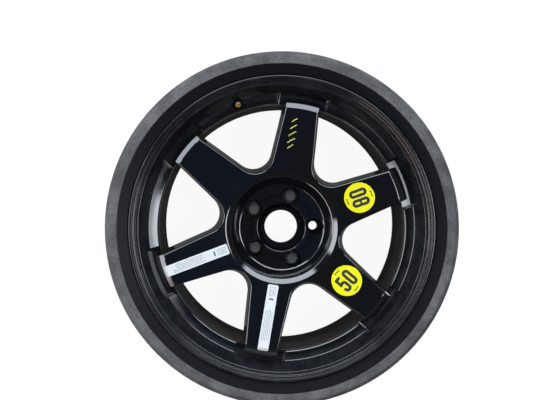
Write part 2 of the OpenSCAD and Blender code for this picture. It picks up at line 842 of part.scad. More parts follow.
wheel_casting();
tyre();
wheel_bolt_1();
wheel_bolt_2();
wheel_bolt_3();
wheel_bolt_4();
valve_rubber();
valve_stem();
core_housing();
core_gasket();
core_spring();
core_pin();
core_seal();
round_sticker_1();
round_sticker_2();
white_sticker_1();
white_sticker_2();
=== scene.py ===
# Space saver spare wheel: looks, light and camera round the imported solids
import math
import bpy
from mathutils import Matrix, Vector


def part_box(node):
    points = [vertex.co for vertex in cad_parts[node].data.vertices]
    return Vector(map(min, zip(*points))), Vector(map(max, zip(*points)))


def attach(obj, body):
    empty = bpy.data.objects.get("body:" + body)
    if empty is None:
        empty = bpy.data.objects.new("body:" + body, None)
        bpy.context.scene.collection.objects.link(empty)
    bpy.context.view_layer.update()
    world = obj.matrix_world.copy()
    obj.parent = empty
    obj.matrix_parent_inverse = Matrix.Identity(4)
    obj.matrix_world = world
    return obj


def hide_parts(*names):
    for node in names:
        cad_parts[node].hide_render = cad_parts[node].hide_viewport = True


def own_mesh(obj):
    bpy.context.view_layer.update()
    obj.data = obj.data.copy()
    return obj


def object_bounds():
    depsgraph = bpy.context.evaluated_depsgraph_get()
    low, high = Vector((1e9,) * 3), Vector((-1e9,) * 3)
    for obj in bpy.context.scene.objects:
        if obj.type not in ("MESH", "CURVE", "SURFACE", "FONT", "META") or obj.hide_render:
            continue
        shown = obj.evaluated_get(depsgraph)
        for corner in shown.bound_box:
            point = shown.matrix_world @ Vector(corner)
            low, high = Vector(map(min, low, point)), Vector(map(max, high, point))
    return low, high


bl_info = {
    "name": "Space Saver Spare Wheel",
    "version": (1, 0, 0),
    "blender": (4, 5, 0),
    "location": "3D View > Sidebar > Spare Wheel",
    "description": "Dresses a spare wheel with a folded tyre, a gloss black cast rim, bolts and stickers",
    "category": "Add Mesh",
}

import bmesh
import bpy
import numpy as np

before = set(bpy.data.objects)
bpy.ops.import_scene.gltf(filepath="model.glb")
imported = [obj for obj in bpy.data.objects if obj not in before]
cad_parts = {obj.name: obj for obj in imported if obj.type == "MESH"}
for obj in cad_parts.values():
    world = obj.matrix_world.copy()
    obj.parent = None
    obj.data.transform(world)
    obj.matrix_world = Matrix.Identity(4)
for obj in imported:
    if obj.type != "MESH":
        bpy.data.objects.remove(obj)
CAD_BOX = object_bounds()
MM = 0.001
WHEEL = "wheel"
BOLT_NAMES = ["wheel_bolt_1", "wheel_bolt_2", "wheel_bolt_3", "wheel_bolt_4"]

# Sizes of the solids that the added pieces lie on, in metres, and the directions of the six spokes
BAND_PROUD = 1.5 * MM
FRONT_Z = CAD_BOX[1].z - BAND_PROUD
SHOULDER_R = 92.0 * MM
SPOKE_END_R = 196.5 * MM
FACE_HUB_Z = FRONT_Z - 20.0 * MM
FACE_SLOPE = 12.0 * MM / (SPOKE_END_R - SHOULDER_R)
STICKER_TOP = 0.30 * MM
LEDGE_Z = FRONT_Z - 30.5 * MM
BARREL_R = 206.5 * MM
FLANGE_R = 248.3 * MM
BAND_R = 266.5 * MM
SPOKE_ANGLES = [math.radians(20.3 + 60.0 * i) for i in range(6)]

# Stage: size of the floor, its glow and shade to the camera, and the width of the picture
FLOOR_HALF = 6.0
FLOOR_GLOW = (0.93, 0.93, 0.93)
FLOOR_SHADE = (0.10, 0.10, 0.10)
BACKDROP_WHITE = (1.0, 1.0, 1.0)
PICTURE_WIDTH_PX = 533.0
SENSOR_WIDTH_MM = 36.0

# Corners of the smoothed solids that turn by more than this stay sharp
SHARP_ANGLE = math.radians(36.0)

# Heights of the prints over their stickers and of the marker's paint over a spoke
PRINT_LIFT = STICKER_TOP + 0.03 * MM
MARKER_LIFT = 0.05 * MM


# Sizes and colours that a user would change
class WheelViewSettings(bpy.types.PropertyGroup):
    camera_x: bpy.props.FloatProperty(
        name="Camera X", description="Sideways place of the camera", default=-0.025, unit="LENGTH")
    camera_y: bpy.props.FloatProperty(
        name="Camera Y", description="Place of the camera towards the top", default=0.046, unit="LENGTH")
    camera_rise: bpy.props.FloatProperty(
        name="Camera Rise", description="Height above the wheel's front plane", default=0.815, unit="LENGTH")
    focal_px: bpy.props.FloatProperty(
        name="Focal Length", description="Focal length in pixels of a picture 533 wide", default=507.0)
    floor_colour: bpy.props.FloatVectorProperty(
        name="Floor", description="Colour of the floor", default=(0.18, 0.18, 0.18), subtype="COLOR")
    backdrop_mirrored: bpy.props.FloatProperty(
        name="Backdrop Mirrored", description="Share of the backdrop's white that the paint mirrors",
        default=0.01)
    floor_mirrored: bpy.props.FloatProperty(
        name="Floor Mirrored", description="Share of the floor's white that the paint mirrors", default=0.06)
    door_light: bpy.props.FloatProperty(
        name="Door Light", description="Radiance of the bright door beyond the top of the wheel", default=3.9)
    horizon_light: bpy.props.FloatProperty(
        name="Horizon Light", description="Radiance of the low band at the top and left", default=3.2)
    right_light: bpy.props.FloatProperty(
        name="Right Light", description="Radiance of the high patch on the right", default=6.0)
    left_light: bpy.props.FloatProperty(
        name="Left Light", description="Radiance of the patch on the left", default=4.5)
    wall_light: bpy.props.FloatProperty(
        name="Wall Light", description="Radiance of the warm wall low on the left", default=4.0)


class WheelFinishSettings(bpy.types.PropertyGroup):
    paint: bpy.props.FloatVectorProperty(
        name="Paint", description="Colour of the gloss paint", default=(0.0035, 0.004, 0.0055),
        subtype="COLOR")
    tyre: bpy.props.FloatVectorProperty(
        name="Tyre", description="Colour of the tyre's rubber", default=(0.080, 0.079, 0.080),
        subtype="COLOR")
    bolt: bpy.props.FloatVectorProperty(
        name="Bolt", description="Colour of the bolts' coating", default=(0.060, 0.060, 0.060),
        subtype="COLOR")
    brass: bpy.props.FloatVectorProperty(
        name="Brass", description="Colour of the valve's brass", default=(0.62, 0.42, 0.14),
        subtype="COLOR")
    yellow: bpy.props.FloatVectorProperty(
        name="Yellow", description="Colour of the round stickers", default=(0.84, 0.80, 0.008),
        subtype="COLOR")
    white: bpy.props.FloatVectorProperty(
        name="White", description="Colour of the white stickers", default=(0.78, 0.79, 0.80),
        subtype="COLOR")
    ink: bpy.props.FloatVectorProperty(
        name="Ink", description="Colour of the numbers and the printed lines", default=(0.035, 0.035, 0.04),
        subtype="COLOR")
    marker: bpy.props.FloatVectorProperty(
        name="Marker", description="Colour of the paint marker's strokes", default=(0.62, 0.68, 0.10),
        subtype="COLOR")


# Small helpers for nodes and materials
def new_material(name):
    """A material with its shader; returns the material, its nodes, its links and the shader."""
    material = bpy.data.materials.new(name)
    material.use_nodes = True
    tree = material.node_tree
    return material, tree.nodes, tree.links, tree.nodes["Principled BSDF"]


def noise(nodes, links, scale, detail=4.0, stretch=None):
    """Noise on Object coordinates, with an optional stretch along each axis."""
    coords = nodes.new("ShaderNodeTexCoord")
    source = coords.outputs["Object"]
    if stretch:
        mapping = nodes.new("ShaderNodeMapping")
        mapping.inputs["Scale"].default_value = stretch
        links.new(source, mapping.inputs["Vector"])
        source = mapping.outputs["Vector"]
    texture = nodes.new("ShaderNodeTexNoise")
    texture.inputs["Scale"].default_value = scale
    texture.inputs["Detail"].default_value = detail
    links.new(source, texture.inputs["Vector"])
    return texture.outputs["Fac"]


def ramp(nodes, links, source, stops):
    """A colour ramp; stops are pairs of place and colour or grey level."""
    node = nodes.new("ShaderNodeValToRGB")
    elements = node.color_ramp.elements
    while len(elements) < len(stops):
        elements.new(0.5)
    for element, (place, level) in zip(elements, stops):
        element.position = place
        colour = (level, level, level) if isinstance(level, (int, float)) else tuple(level)
        element.color = (*colour, 1.0)
    links.new(source, node.inputs["Fac"])
    return node.outputs["Color"]


def bump(nodes, links, height, strength, distance):
    """A bump node of a height; returns its normal."""
    node = nodes.new("ShaderNodeBump")
    node.inputs["Strength"].default_value = strength
    node.inputs["Distance"].default_value = distance
    links.new(height, node.inputs["Height"])
    return node.outputs["Normal"]


def dress(node_name, material):
    """Give a CAD node one material."""
    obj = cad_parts[node_name]
    obj.data.materials.clear()
    obj.data.materials.append(material)


def soft_step(nodes, links, source, low, high):
    """A smooth rise from 0 at low to 1 at high; low above high gives a fall."""
    node = nodes.new("ShaderNodeMapRange")
    node.interpolation_type = "SMOOTHSTEP"
    first, last = (low, high) if low < high else (high, low)
    node.inputs["From Min"].default_value = first
    node.inputs["From Max"].default_value = last
    node.inputs["To Min"].default_value = 0.0 if low < high else 1.0
    node.inputs["To Max"].default_value = 1.0 if low < high else 0.0
    links.new(source, node.inputs["Value"])
    return node.outputs["Result"]


def maths(nodes, links, operation, first, second=0.5):
    """A math node; each input is a socket or a number."""
    node = nodes.new("ShaderNodeMath")
    node.operation = operation
    for place, value in enumerate((first, second)):
        if isinstance(value, (int, float)):
            node.inputs[place].default_value = value
        else:
            links.new(value, node.inputs[place])
    return node.outputs["Value"]


def wheel_place(nodes, links):
    """Radius from the wheel's axis and height above its mounting face, from Object coordinates."""
    split = nodes.new("ShaderNodeSeparateXYZ")
    links.new(nodes.new("ShaderNodeTexCoord").outputs["Object"], split.inputs["Vector"])
    x, y = split.outputs["X"], split.outputs["Y"]
    square = maths(nodes, links, "ADD", maths(nodes, links, "MULTIPLY", x, x),
                   maths(nodes, links, "MULTIPLY", y, y))
    return maths(nodes, links, "SQRT", square), split.outputs["Z"]


def mix_colours(nodes, links, factor, first, second):
    """Mix of two colours; each is a socket or three numbers."""
    node = nodes.new("ShaderNodeMix")
    node.data_type = "RGBA"
    links.new(factor, node.inputs["Factor"])
    for name, value in (("A", first), ("B", second)):
        place = [s for s in node.inputs if s.name == name and s.type == "RGBA"][0]
        if isinstance(value, (tuple, list)):
            place.default_value = (*value, 1.0)
        else:
            links.new(value, place)
    return [s for s in node.outputs if s.type == "RGBA"][0]


def white_share(nodes, links, mirrored):
    """1 for straight views and views through glass, and the given share for mirrored views."""
    path = nodes.new("ShaderNodeLightPath")
    mirror = maths(nodes, links, "MULTIPLY", path.outputs["Is Glossy Ray"], mirrored)
    seen = maths(nodes, links, "MAXIMUM", path.outputs["Is Camera Ray"], mirror)
    return maths(nodes, links, "MAXIMUM", seen, path.outputs["Is Transmission Ray"])


def link_piece(name, mesh):
    """An object of a mesh at the origin that rides on the wheel."""
    obj = bpy.data.objects.new(name, mesh)
    bpy.context.scene.collection.objects.link(obj)
    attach(obj, WHEEL)
    return obj


def read_array(collection, key, width, kind=float):
    """A property of every item of a mesh, as an array with width columns."""
    values = np.empty(len(collection) * width, dtype=kind)
    collection.foreach_get(key, values)
    return values.reshape(-1, width) if width > 1 else values


def corner_normals(mesh, limit):
    """Normals of a triangle mesh's corners, free of the wobble that uneven triangles give.

    A face that belongs to a surface turned round the wheel's axis gets its cone's normal turned to each
    corner: (nr cos a, nr sin a, nz), where a is the corner's angle. At a corner, the surfaces that meet
    at less than the limit are added, each weighted by the square of its whole area. A normal that ends
    up further than the limit from its face gives way to the face's own.
    """
    points = read_array(mesh.vertices, "co", 3)
    centre = read_array(mesh.polygons, "center", 3)
    normal = read_array(mesh.polygons, "normal", 3)
    area = read_array(mesh.polygons, "area", 1)
    corner_point = read_array(mesh.loops, "vertex_index", 1, np.int32)
    corner_face = np.repeat(np.arange(len(area)), 3)

    radius = np.maximum(np.hypot(centre[:, 0], centre[:, 1]), 1e-9)
    out = centre[:, :2] / radius[:, None]
    radial = (normal[:, :2] * out).sum(1)
    sideways = normal[:, 1] * out[:, 0] - normal[:, 0] * out[:, 1]
    offset = radial * radius + normal[:, 2] * centre[:, 2]
    plane = (normal * centre).sum(1)
    turned = (np.abs(sideways) < 0.03) & (radius > 15 * MM)

    def surfaces():
        key = np.column_stack([
            turned,
            np.round(np.where(turned, radial, normal[:, 0]), 2),
            np.round(np.where(turned, 0.0, normal[:, 1]), 2),
            np.round(normal[:, 2], 2),
            np.round(np.where(turned, offset, plane) / (0.5 * MM)),
        ])
        return np.unique(key, axis=0, return_inverse=True)[1].ravel()

    surface = surfaces()
    turned &= np.bincount(surface)[surface] >= 12
    surface = surfaces()
    total = np.bincount(surface, area)
    is_turned = np.bincount(surface, turned) > 0

    def mean(values):
        return np.bincount(surface, values * area) / total

    mean_radial = mean(radial)
    mean_normal = np.column_stack([mean(normal[:, i]) for i in range(3)])

    pair = np.unique(np.column_stack([corner_point, surface[corner_face]]), axis=0)
    pair_point, pair_surface = pair[:, 0], pair[:, 1]
    away = points[pair_point, :2]
    away = away / np.maximum(np.linalg.norm(away, axis=1), 1e-9)[:, None]
    flat = mean_normal[pair_surface]
    round_out = mean_radial[pair_surface, None] * away
    vector = np.where(
        is_turned[pair_surface, None],
        np.column_stack([round_out, flat[:, 2]]),
        flat,
    )
    vector /= np.maximum(np.linalg.norm(vector, axis=1), 1e-9)[:, None]

    first = np.searchsorted(pair_point, np.arange(len(points)))
    count = np.bincount(pair_point, minlength=len(points))
    index = surface[corner_face] + corner_point.astype(np.int64) * len(total)
    own = vector[np.searchsorted(pair_surface + pair_point.astype(np.int64) * len(total), index)]
    result = np.zeros((len(corner_point), 3))
    for step in range(count.max()):
        there = count[corner_point] > step
        row = np.minimum(first[corner_point] + step, len(vector) - 1)
        near = (own * vector[row]).sum(1) > math.cos(limit)
        weight = np.where(there & near, total[pair_surface[row]] ** 2, 0.0)
        result += weight[:, None] * vector[row]
    result /= np.maximum(np.linalg.norm(result, axis=1), 1e-20)[:, None]
    flat = normal[corner_face]
    astray = (result * flat).sum(1) < math.cos(limit)
    result[astray] = flat[astray]
    return result


def smooth_copy(node_name, name, material):
    """A merged copy of a CAD node's mesh with true normals, shown in the node's place."""
    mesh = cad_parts[node_name].data.copy()
    mesh.name = name
    work = bmesh.new()
    work.from_mesh(mesh)
    bmesh.ops.remove_doubles(work, verts=work.verts, dist=1e-6)
    work.to_mesh(mesh)
    work.free()
    mesh.materials.clear()
    mesh.materials.append(material)
    mesh.shade_smooth()
    mesh.normals_split_custom_set(corner_normals(mesh, SHARP_ANGLE))
    obj = link_piece(name, mesh)
    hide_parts(node_name)
    return obj


def on_spoke_face(points, lift):
    """Heights of points over the cone of the spokes' faces: z = hub height + (R - shoulder) x slope."""
    radius = np.hypot(points[:, 0], points[:, 1])
    rise = lift * math.hypot(1.0, FACE_SLOPE)
    z = FACE_HUB_Z + (radius - SHOULDER_R) * FACE_SLOPE + rise
    return np.column_stack([points, z])


def round_path(corners, closed):
    """A path through corners given as (x, y, radius), each rounded by an arc of the given radius."""
    points = np.array([corner[:2] for corner in corners], float)
    path = []
    for i, (x, y, radius) in enumerate(corners):
        end = not closed and i in (0, len(corners) - 1)
        if end or radius == 0:
            path.append([[x, y]])
            continue
        here = points[i]
        back = points[i - 1] - here
        ahead = points[(i + 1) % len(points)] - here
        back, ahead = back / np.linalg.norm(back), ahead / np.linalg.norm(ahead)
        half = math.acos(np.clip(back @ ahead, -1, 1)) / 2
        middle = here + (back + ahead) / np.linalg.norm(back + ahead) * radius / math.sin(half)
        start = here + back * radius / math.tan(half) - middle
        stop = here + ahead * radius / math.tan(half) - middle
        turn = math.atan2(start[0] * stop[1] - start[1] * stop[0], start @ stop)
        a = np.linspace(0, turn, 9)[:, None]
        path.append(middle + start * np.cos(a) + np.array([-start[1], start[0]]) * np.sin(a))
    return np.concatenate([np.asarray(piece, float) for piece in path])


def ribbon(path, width, closed):
    """A flat ribbon of one width: each point of the path is moved half the width to both sides."""
    if closed:
        before, after = np.roll(path, 1, 0), np.roll(path, -1, 0)
    else:
        before = np.vstack([path[:1] * 2 - path[1:2], path[:-1]])
        after = np.vstack([path[1:], path[-1:] * 2 - path[-2:-1]])
    back, ahead = path - before, after - path
    back /= np.linalg.norm(back, axis=1)[:, None]
    ahead /= np.linalg.norm(ahead, axis=1)[:, None]
    side = np.column_stack([-(back + ahead)[:, 1], (back + ahead)[:, 0]])
    side /= np.linalg.norm(side, axis=1)[:, None]
    reach = width / 2 / np.maximum((side * np.column_stack([-back[:, 1], back[:, 0]])).sum(1), 0.4)
    points = np.concatenate([path + side * reach[:, None], path - side * reach[:, None]])
    n = len(path)
    i = np.arange(n if closed else n - 1)
    j = (i + 1) % n
    return points, np.column_stack([i, i + n, j + n, j])


def join(parts):
    """Points and faces of several flat shapes as one."""
    points, faces, count = [], [], 0
    for part_points, part_faces in parts:
        points.append(part_points)
        faces.append(part_faces + count)
        count += len(part_points)
    return np.concatenate(points), np.concatenate(faces)


# Materials of this wheel
def gloss_black_paint(settings):
    """Deep gloss black paint, with dust and fine scratches, dulled by grime on the ledge and flanges,
    and thinner, browner and matt in the barrel."""
    material, nodes, links, shader = new_material("gloss_black_paint")
    radius, height = wheel_place(nodes, links)
    outside = soft_step(nodes, links, radius, BARREL_R - 3 * MM, BARREL_R)
    paint_end, bare_start = LEDGE_Z - 12 * MM, LEDGE_Z - 16 * MM
    below = soft_step(nodes, links, height, paint_end, bare_start)
    grime = soft_step(nodes, links, radius, BARREL_R + 5 * MM, BARREL_R + 12 * MM)
    barrel = maths(nodes, links, "MULTIPLY", outside, below)
    specks = noise(nodes, links, 1600.0, 3.0)
    speck_shade = ramp(nodes, links, specks, [(0.66, settings.paint), (0.8, (0.03, 0.031, 0.034))])
    brown = ramp(nodes, links, noise(nodes, links, 60.0, 5.0), [
        (0.3, (0.014, 0.010, 0.008)), (0.75, (0.036, 0.025, 0.019))])
    dust = ramp(nodes, links, noise(nodes, links, 55.0, 7.0), [
        (0.3, (0.006, 0.007, 0.009)), (0.7, (0.020, 0.021, 0.024))])
    shade = mix_colours(nodes, links, grime, speck_shade, dust)
    links.new(mix_colours(nodes, links, barrel, shade, brown), shader.inputs["Base Color"])
    haze = ramp(nodes, links, noise(nodes, links, 45.0, 6.0), [(0.35, 0.035), (0.8, 0.14)])
    scratches = noise(nodes, links, 90.0, 5.0, (1.0, 14.0, 1.0))
    scratch_shade = ramp(nodes, links, scratches, [(0.62, 0.0), (0.72, 0.10)])
    rough = maths(nodes, links, "ADD", haze, scratch_shade)
    rough = maths(nodes, links, "ADD", rough, maths(nodes, links, "MULTIPLY", grime, 0.10))
    rough = maths(nodes, links, "ADD", rough, maths(nodes, links, "MULTIPLY", barrel, 0.38))
    links.new(rough, shader.inputs["Roughness"])
    shader.inputs["Specular IOR Level"].default_value = 0.7
    clear = maths(nodes, links, "SUBTRACT", 1.0, maths(nodes, links, "MULTIPLY", grime, 0.6))
    clear = maths(nodes, links, "MULTIPLY", clear, maths(nodes, links, "SUBTRACT", 1.0, barrel))
    links.new(clear, shader.inputs["Coat Weight"])
    shader.inputs["Coat IOR"].default_value = 1.7
    shader.inputs["Coat Roughness"].default_value = 0.03
    peel = noise(nodes, links, 260.0, 2.0)
    links.new(bump(nodes, links, peel, 0.035, 0.0004), shader.inputs["Normal"])
    return material


def tyre_rubber(settings):
    """Rubber: black and smoother inside the band's edge, matt grey with dust on the band and tread."""
    material, nodes, links, shader = new_material("tyre_rubber")
    radius, _ = wheel_place(nodes, links)
    band = soft_step(nodes, links, radius, BAND_R - 1.2 * MM, BAND_R - 0.2 * MM)
    base = tuple(settings.tyre)
    pale = tuple(min(1.0, c * 2.0) for c in base)
    wide = maths(nodes, links, "MULTIPLY", noise(nodes, links, 30.0, 8.0), 0.6)
    fine = maths(nodes, links, "MULTIPLY", noise(nodes, links, 420.0, 2.0), 0.4)
    cloud = maths(nodes, links, "ADD", wide, fine)
    dust = ramp(nodes, links, cloud, [(0.40, base), (0.62, pale)])
    smooth_black = (0.0095, 0.0100, 0.0125)
    links.new(mix_colours(nodes, links, band, smooth_black, dust), shader.inputs["Base Color"])
    rough = maths(nodes, links, "ADD", maths(nodes, links, "MULTIPLY", band, 0.47), 0.30)
    links.new(rough, shader.inputs["Roughness"])
    shader.inputs["Specular IOR Level"].default_value = 0.06
    depth = maths(nodes, links, "ADD", maths(nodes, links, "MULTIPLY", band, 0.85), 0.15)
    grain = maths(nodes, links, "MULTIPLY", noise(nodes, links, 700.0, 6.0), depth)
    links.new(bump(nodes, links, grain, 0.35, 0.0006), shader.inputs["Normal"])
    return material


def phosphate_steel(settings):
    """Dark phosphate coating of the wheel bolts; the collar beside the head is painted paler, painted light
    that lifts it out of the shade of its deep pocket.
    """
    material, nodes, links, shader = new_material("phosphate_steel")
    mottle = noise(nodes, links, 260.0, 5.0)
    # Shares of the coating's colour: dark and plain for the head, dull and pale for the collar, paler as
    # painted light against the shade of its deep pocket
    dark, plain, dull, pale = [tuple(c * share for c in settings.bolt) for share in (0.9, 1.5, 3.4, 4.4)]
    shade = ramp(nodes, links, mottle, [(0.3, dark), (0.8, plain)])
    collar_painted_light = ramp(nodes, links, mottle, [(0.3, dull), (0.8, pale)])
    _, height = wheel_place(nodes, links)
    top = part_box(BOLT_NAMES[0])[1].z
    # Painted light: the collar, from 8 to 11 mm below the bolt's top, takes the paler colours
    collar = soft_step(nodes, links, height, top - 8 * MM, top - 11 * MM)
    links.new(mix_colours(nodes, links, collar, shade, collar_painted_light), shader.inputs["Base Color"])
    shader.inputs["Metallic"].default_value = 0.2
    shader.inputs["Roughness"].default_value = 0.6
    grain = noise(nodes, links, 1400.0, 2.0)
    links.new(bump(nodes, links, grain, 0.3, 0.0003), shader.inputs["Normal"])
    return material


def turned_brass(settings):
    """Brass of the valve, slightly dull."""
    material, nodes, links, shader = new_material("turned_brass")
    shader.inputs["Base Color"].default_value = (*settings.brass, 1.0)
    shader.inputs["Metallic"].default_value = 1.0
    tarnish = noise(nodes, links, 600.0, 4.0)
    links.new(ramp(nodes, links, tarnish, [(0.3, 0.22), (0.75, 0.45)]), shader.inputs["Roughness"])
    return material


def valve_rubber():
    """Smooth black rubber of the valve."""
    material, nodes, links, shader = new_material("smooth_rubber")
    shader.inputs["Base Color"].default_value = (0.012, 0.012, 0.013, 1.0)
    shade = noise(nodes, links, 300.0, 3.0)
    links.new(ramp(nodes, links, shade, [(0.3, 0.42), (0.7, 0.6)]), shader.inputs["Roughness"])
    return material


def red_gasket():
    """Red gasket of the valve core."""
    material, nodes, links, shader = new_material("red_gasket")
    shade = noise(nodes, links, 900.0, 2.0)
    stops = [(0.3, (0.42, 0.03, 0.02)), (0.7, (0.5, 0.05, 0.03))]
    links.new(ramp(nodes, links, shade, stops), shader.inputs["Base Color"])
    shader.inputs["Roughness"].default_value = 0.5
    return material


def spring_wire():
    """Bright drawn wire."""
    material, nodes, links, shader = new_material("spring_wire")
    shader.inputs["Base Color"].default_value = (0.55, 0.55, 0.56, 1.0)
    shader.inputs["Metallic"].default_value = 1.0
    shade = noise(nodes, links, 900.0, 2.0)
    links.new(ramp(nodes, links, shade, [(0.3, 0.25), (0.7, 0.4)]), shader.inputs["Roughness"])
    return material


def sticker_film(name, colour):
    """Printed film with a slight gloss and a little print grain."""
    material, nodes, links, shader = new_material(name)
    shade = noise(nodes, links, 700.0, 3.0)
    dark = [c * 0.93 for c in colour]
    links.new(ramp(nodes, links, shade, [(0.3, dark), (0.7, colour)]), shader.inputs["Base Color"])
    shader.inputs["Roughness"].default_value = 0.42
    shader.inputs["Specular IOR Level"].default_value = 0.25
    return material


def bright_patch(nodes, links, direction, azimuth, half_width, low, high, colour, strength):
    """A soft-edged patch of the surroundings between two elevations, centred on an azimuth.

    Its radiance is strength x colour x window(cos of the azimuth difference) x window(sin of elevation).
    """
    x, y, z = direction
    a = math.radians(azimuth)
    level = maths(nodes, links, "SQRT", maths(
        nodes, links, "ADD", maths(nodes, links, "MULTIPLY", x, x), maths(nodes, links, "MULTIPLY", y, y)))
    along = maths(nodes, links, "ADD", maths(nodes, links, "MULTIPLY", x, math.cos(a)),
                  maths(nodes, links, "MULTIPLY", y, math.sin(a)))
    toward = maths(nodes, links, "DIVIDE", along, level)
    edge = math.radians(half_width)
    soft = math.radians(4.0)
    window = soft_step(nodes, links, toward, math.cos(edge + soft), math.cos(edge - soft))
    rise = math.sin(math.radians(low))
    fall = math.sin(math.radians(high))
    window = maths(nodes, links, "MULTIPLY", window, soft_step(nodes, links, z, rise - 0.02, rise + 0.02))
    window = maths(nodes, links, "MULTIPLY", window, soft_step(nodes, links, z, fall + 0.02, fall - 0.02))
    scale = nodes.new("ShaderNodeVectorMath")
    scale.operation = "SCALE"
    scale.inputs[0].default_value = tuple(c * strength for c in colour)
    links.new(window, scale.inputs["Scale"])
    return scale.outputs["Vector"]


class WHEEL_OT_stage(bpy.types.Operator):
    """Floor, camera and the surroundings that light the wheel"""
    bl_idname = "wheel.stage"
    bl_label = "Stage"

    def execute(self, context):
        view = context.scene.wheel_view
        self.floor(context, view)
        self.camera(context, view)
        self.surroundings(context, view)
        context.scene.view_settings.view_transform = "Standard"
        return {"FINISHED"}

    @staticmethod
    def floor(context, view):
        """Pale floor that keeps the shadow; views of it, straight or through glass, see it nearly white,
        and mirrored views see a part of that white over the floor's own shade."""
        material, nodes, links, shader = new_material("pale_floor")
        shader.inputs["Base Color"].default_value = (*view.floor_colour, 1.0)
        shader.inputs["Roughness"].default_value = 0.9
        glow = nodes.new("ShaderNodeEmission")
        glow.inputs["Color"].default_value = (*FLOOR_GLOW, 1.0)
        shade = nodes.new("ShaderNodeBsdfDiffuse")
        shade.inputs["Color"].default_value = (*FLOOR_SHADE, 1.0)
        both = nodes.new("ShaderNodeAddShader")
        links.new(glow.outputs["Emission"], both.inputs[0])
        links.new(shade.outputs["BSDF"], both.inputs[1])
        mix = nodes.new("ShaderNodeMixShader")
        links.new(white_share(nodes, links, view.floor_mirrored), mix.inputs["Fac"])
        links.new(shader.outputs["BSDF"], mix.inputs[1])
        links.new(both.outputs["Shader"], mix.inputs[2])
        links.new(mix.outputs["Shader"], nodes["Material Output"].inputs["Surface"])
        half, low = FLOOR_HALF, CAD_BOX[0].z
        corners = [(-half, -half, low), (half, -half, low), (half, half, low), (-half, half, low)]
        mesh = bpy.data.meshes.new("floor")
        mesh.from_pydata(corners, [], [(0, 1, 2, 3)])
        mesh.materials.append(material)
        floor = bpy.data.objects.new("floor", mesh)
        context.scene.collection.objects.link(floor)

    @staticmethod
    def camera(context, view):
        """Camera that looks straight at the front."""
        data = bpy.data.cameras.new("camera")
        data.sensor_width = SENSOR_WIDTH_MM
        data.lens = view.focal_px / PICTURE_WIDTH_PX * SENSOR_WIDTH_MM
        data.clip_start = 0.01
        data.clip_end = 50.0
        camera = bpy.data.objects.new("camera", data)
        camera.location = (view.camera_x, view.camera_y, FRONT_Z + view.camera_rise)
        context.scene.collection.objects.link(camera)
        context.scene.camera = camera

    @staticmethod
    def surroundings(context, view):
        """Dark ceiling, bluish beside the camera, with a bright door, a low bright band, two side patches
        and a warm wall; views of it, straight or through glass, see white."""
        world = bpy.data.worlds.new("world")
        context.scene.world = world
        world.use_nodes = True
        nodes, links = world.node_tree.nodes, world.node_tree.links
        split = nodes.new("ShaderNodeSeparateXYZ")
        links.new(nodes.new("ShaderNodeTexCoord").outputs["Generated"], split.inputs["Vector"])
        direction = (split.outputs["X"], split.outputs["Y"], split.outputs["Z"])
        # Azimuth, half width, low and high edge in degrees, then colour and radiance
        patches = [
            (85.0, 43.0, 25.0, 60.0, (0.84, 0.93, 1.0), view.door_light),
            (135.0, 72.0, 13.0, 24.0, (0.80, 0.89, 1.0), view.horizon_light),
            (-3.0, 20.0, 46.0, 76.0, (0.86, 0.93, 1.0), view.right_light),
            (174.0, 18.0, 36.0, 60.0, (0.84, 0.92, 1.0), view.left_light),
            (208.0, 34.0, 3.0, 18.0, (1.0, 0.74, 0.66), view.wall_light),
        ]
        total = ramp(nodes, links, split.outputs["Z"], [
            (0.0, 0.12), (0.35, (0.04, 0.042, 0.05)), (1.0, (0.02, 0.021, 0.026))])
        overhead = soft_step(nodes, links, split.outputs["Z"], 0.96, 0.985)
        side = soft_step(nodes, links, split.outputs["X"], 0.0, 0.05)
        ceiling = mix_colours(nodes, links, side, (0.016, 0.017, 0.011), (0.011, 0.022, 0.050))
        total = mix_colours(nodes, links, overhead, total, ceiling)
        for patch in patches:
            glow = bright_patch(nodes, links, direction, *patch)
            add = nodes.new("ShaderNodeVectorMath")
            add.operation = "ADD"
            links.new(total, add.inputs[0])
            links.new(glow, add.inputs[1])
            total = add.outputs["Vector"]
        seen = white_share(nodes, links, view.backdrop_mirrored)
        total = mix_colours(nodes, links, seen, total, BACKDROP_WHITE)
        links.new(total, nodes["Background"].inputs["Color"])


class WHEEL_OT_casting(bpy.types.Operator):
    """Paint on the cast wheel, over a merged copy of its mesh with true normals"""
    bl_idname = "wheel.casting"
    bl_label = "Cast Wheel"

    def execute(self, context):
        smooth_copy("wheel_casting", "cast_wheel", gloss_black_paint(context.scene.wheel_finish))
        return {"FINISHED"}


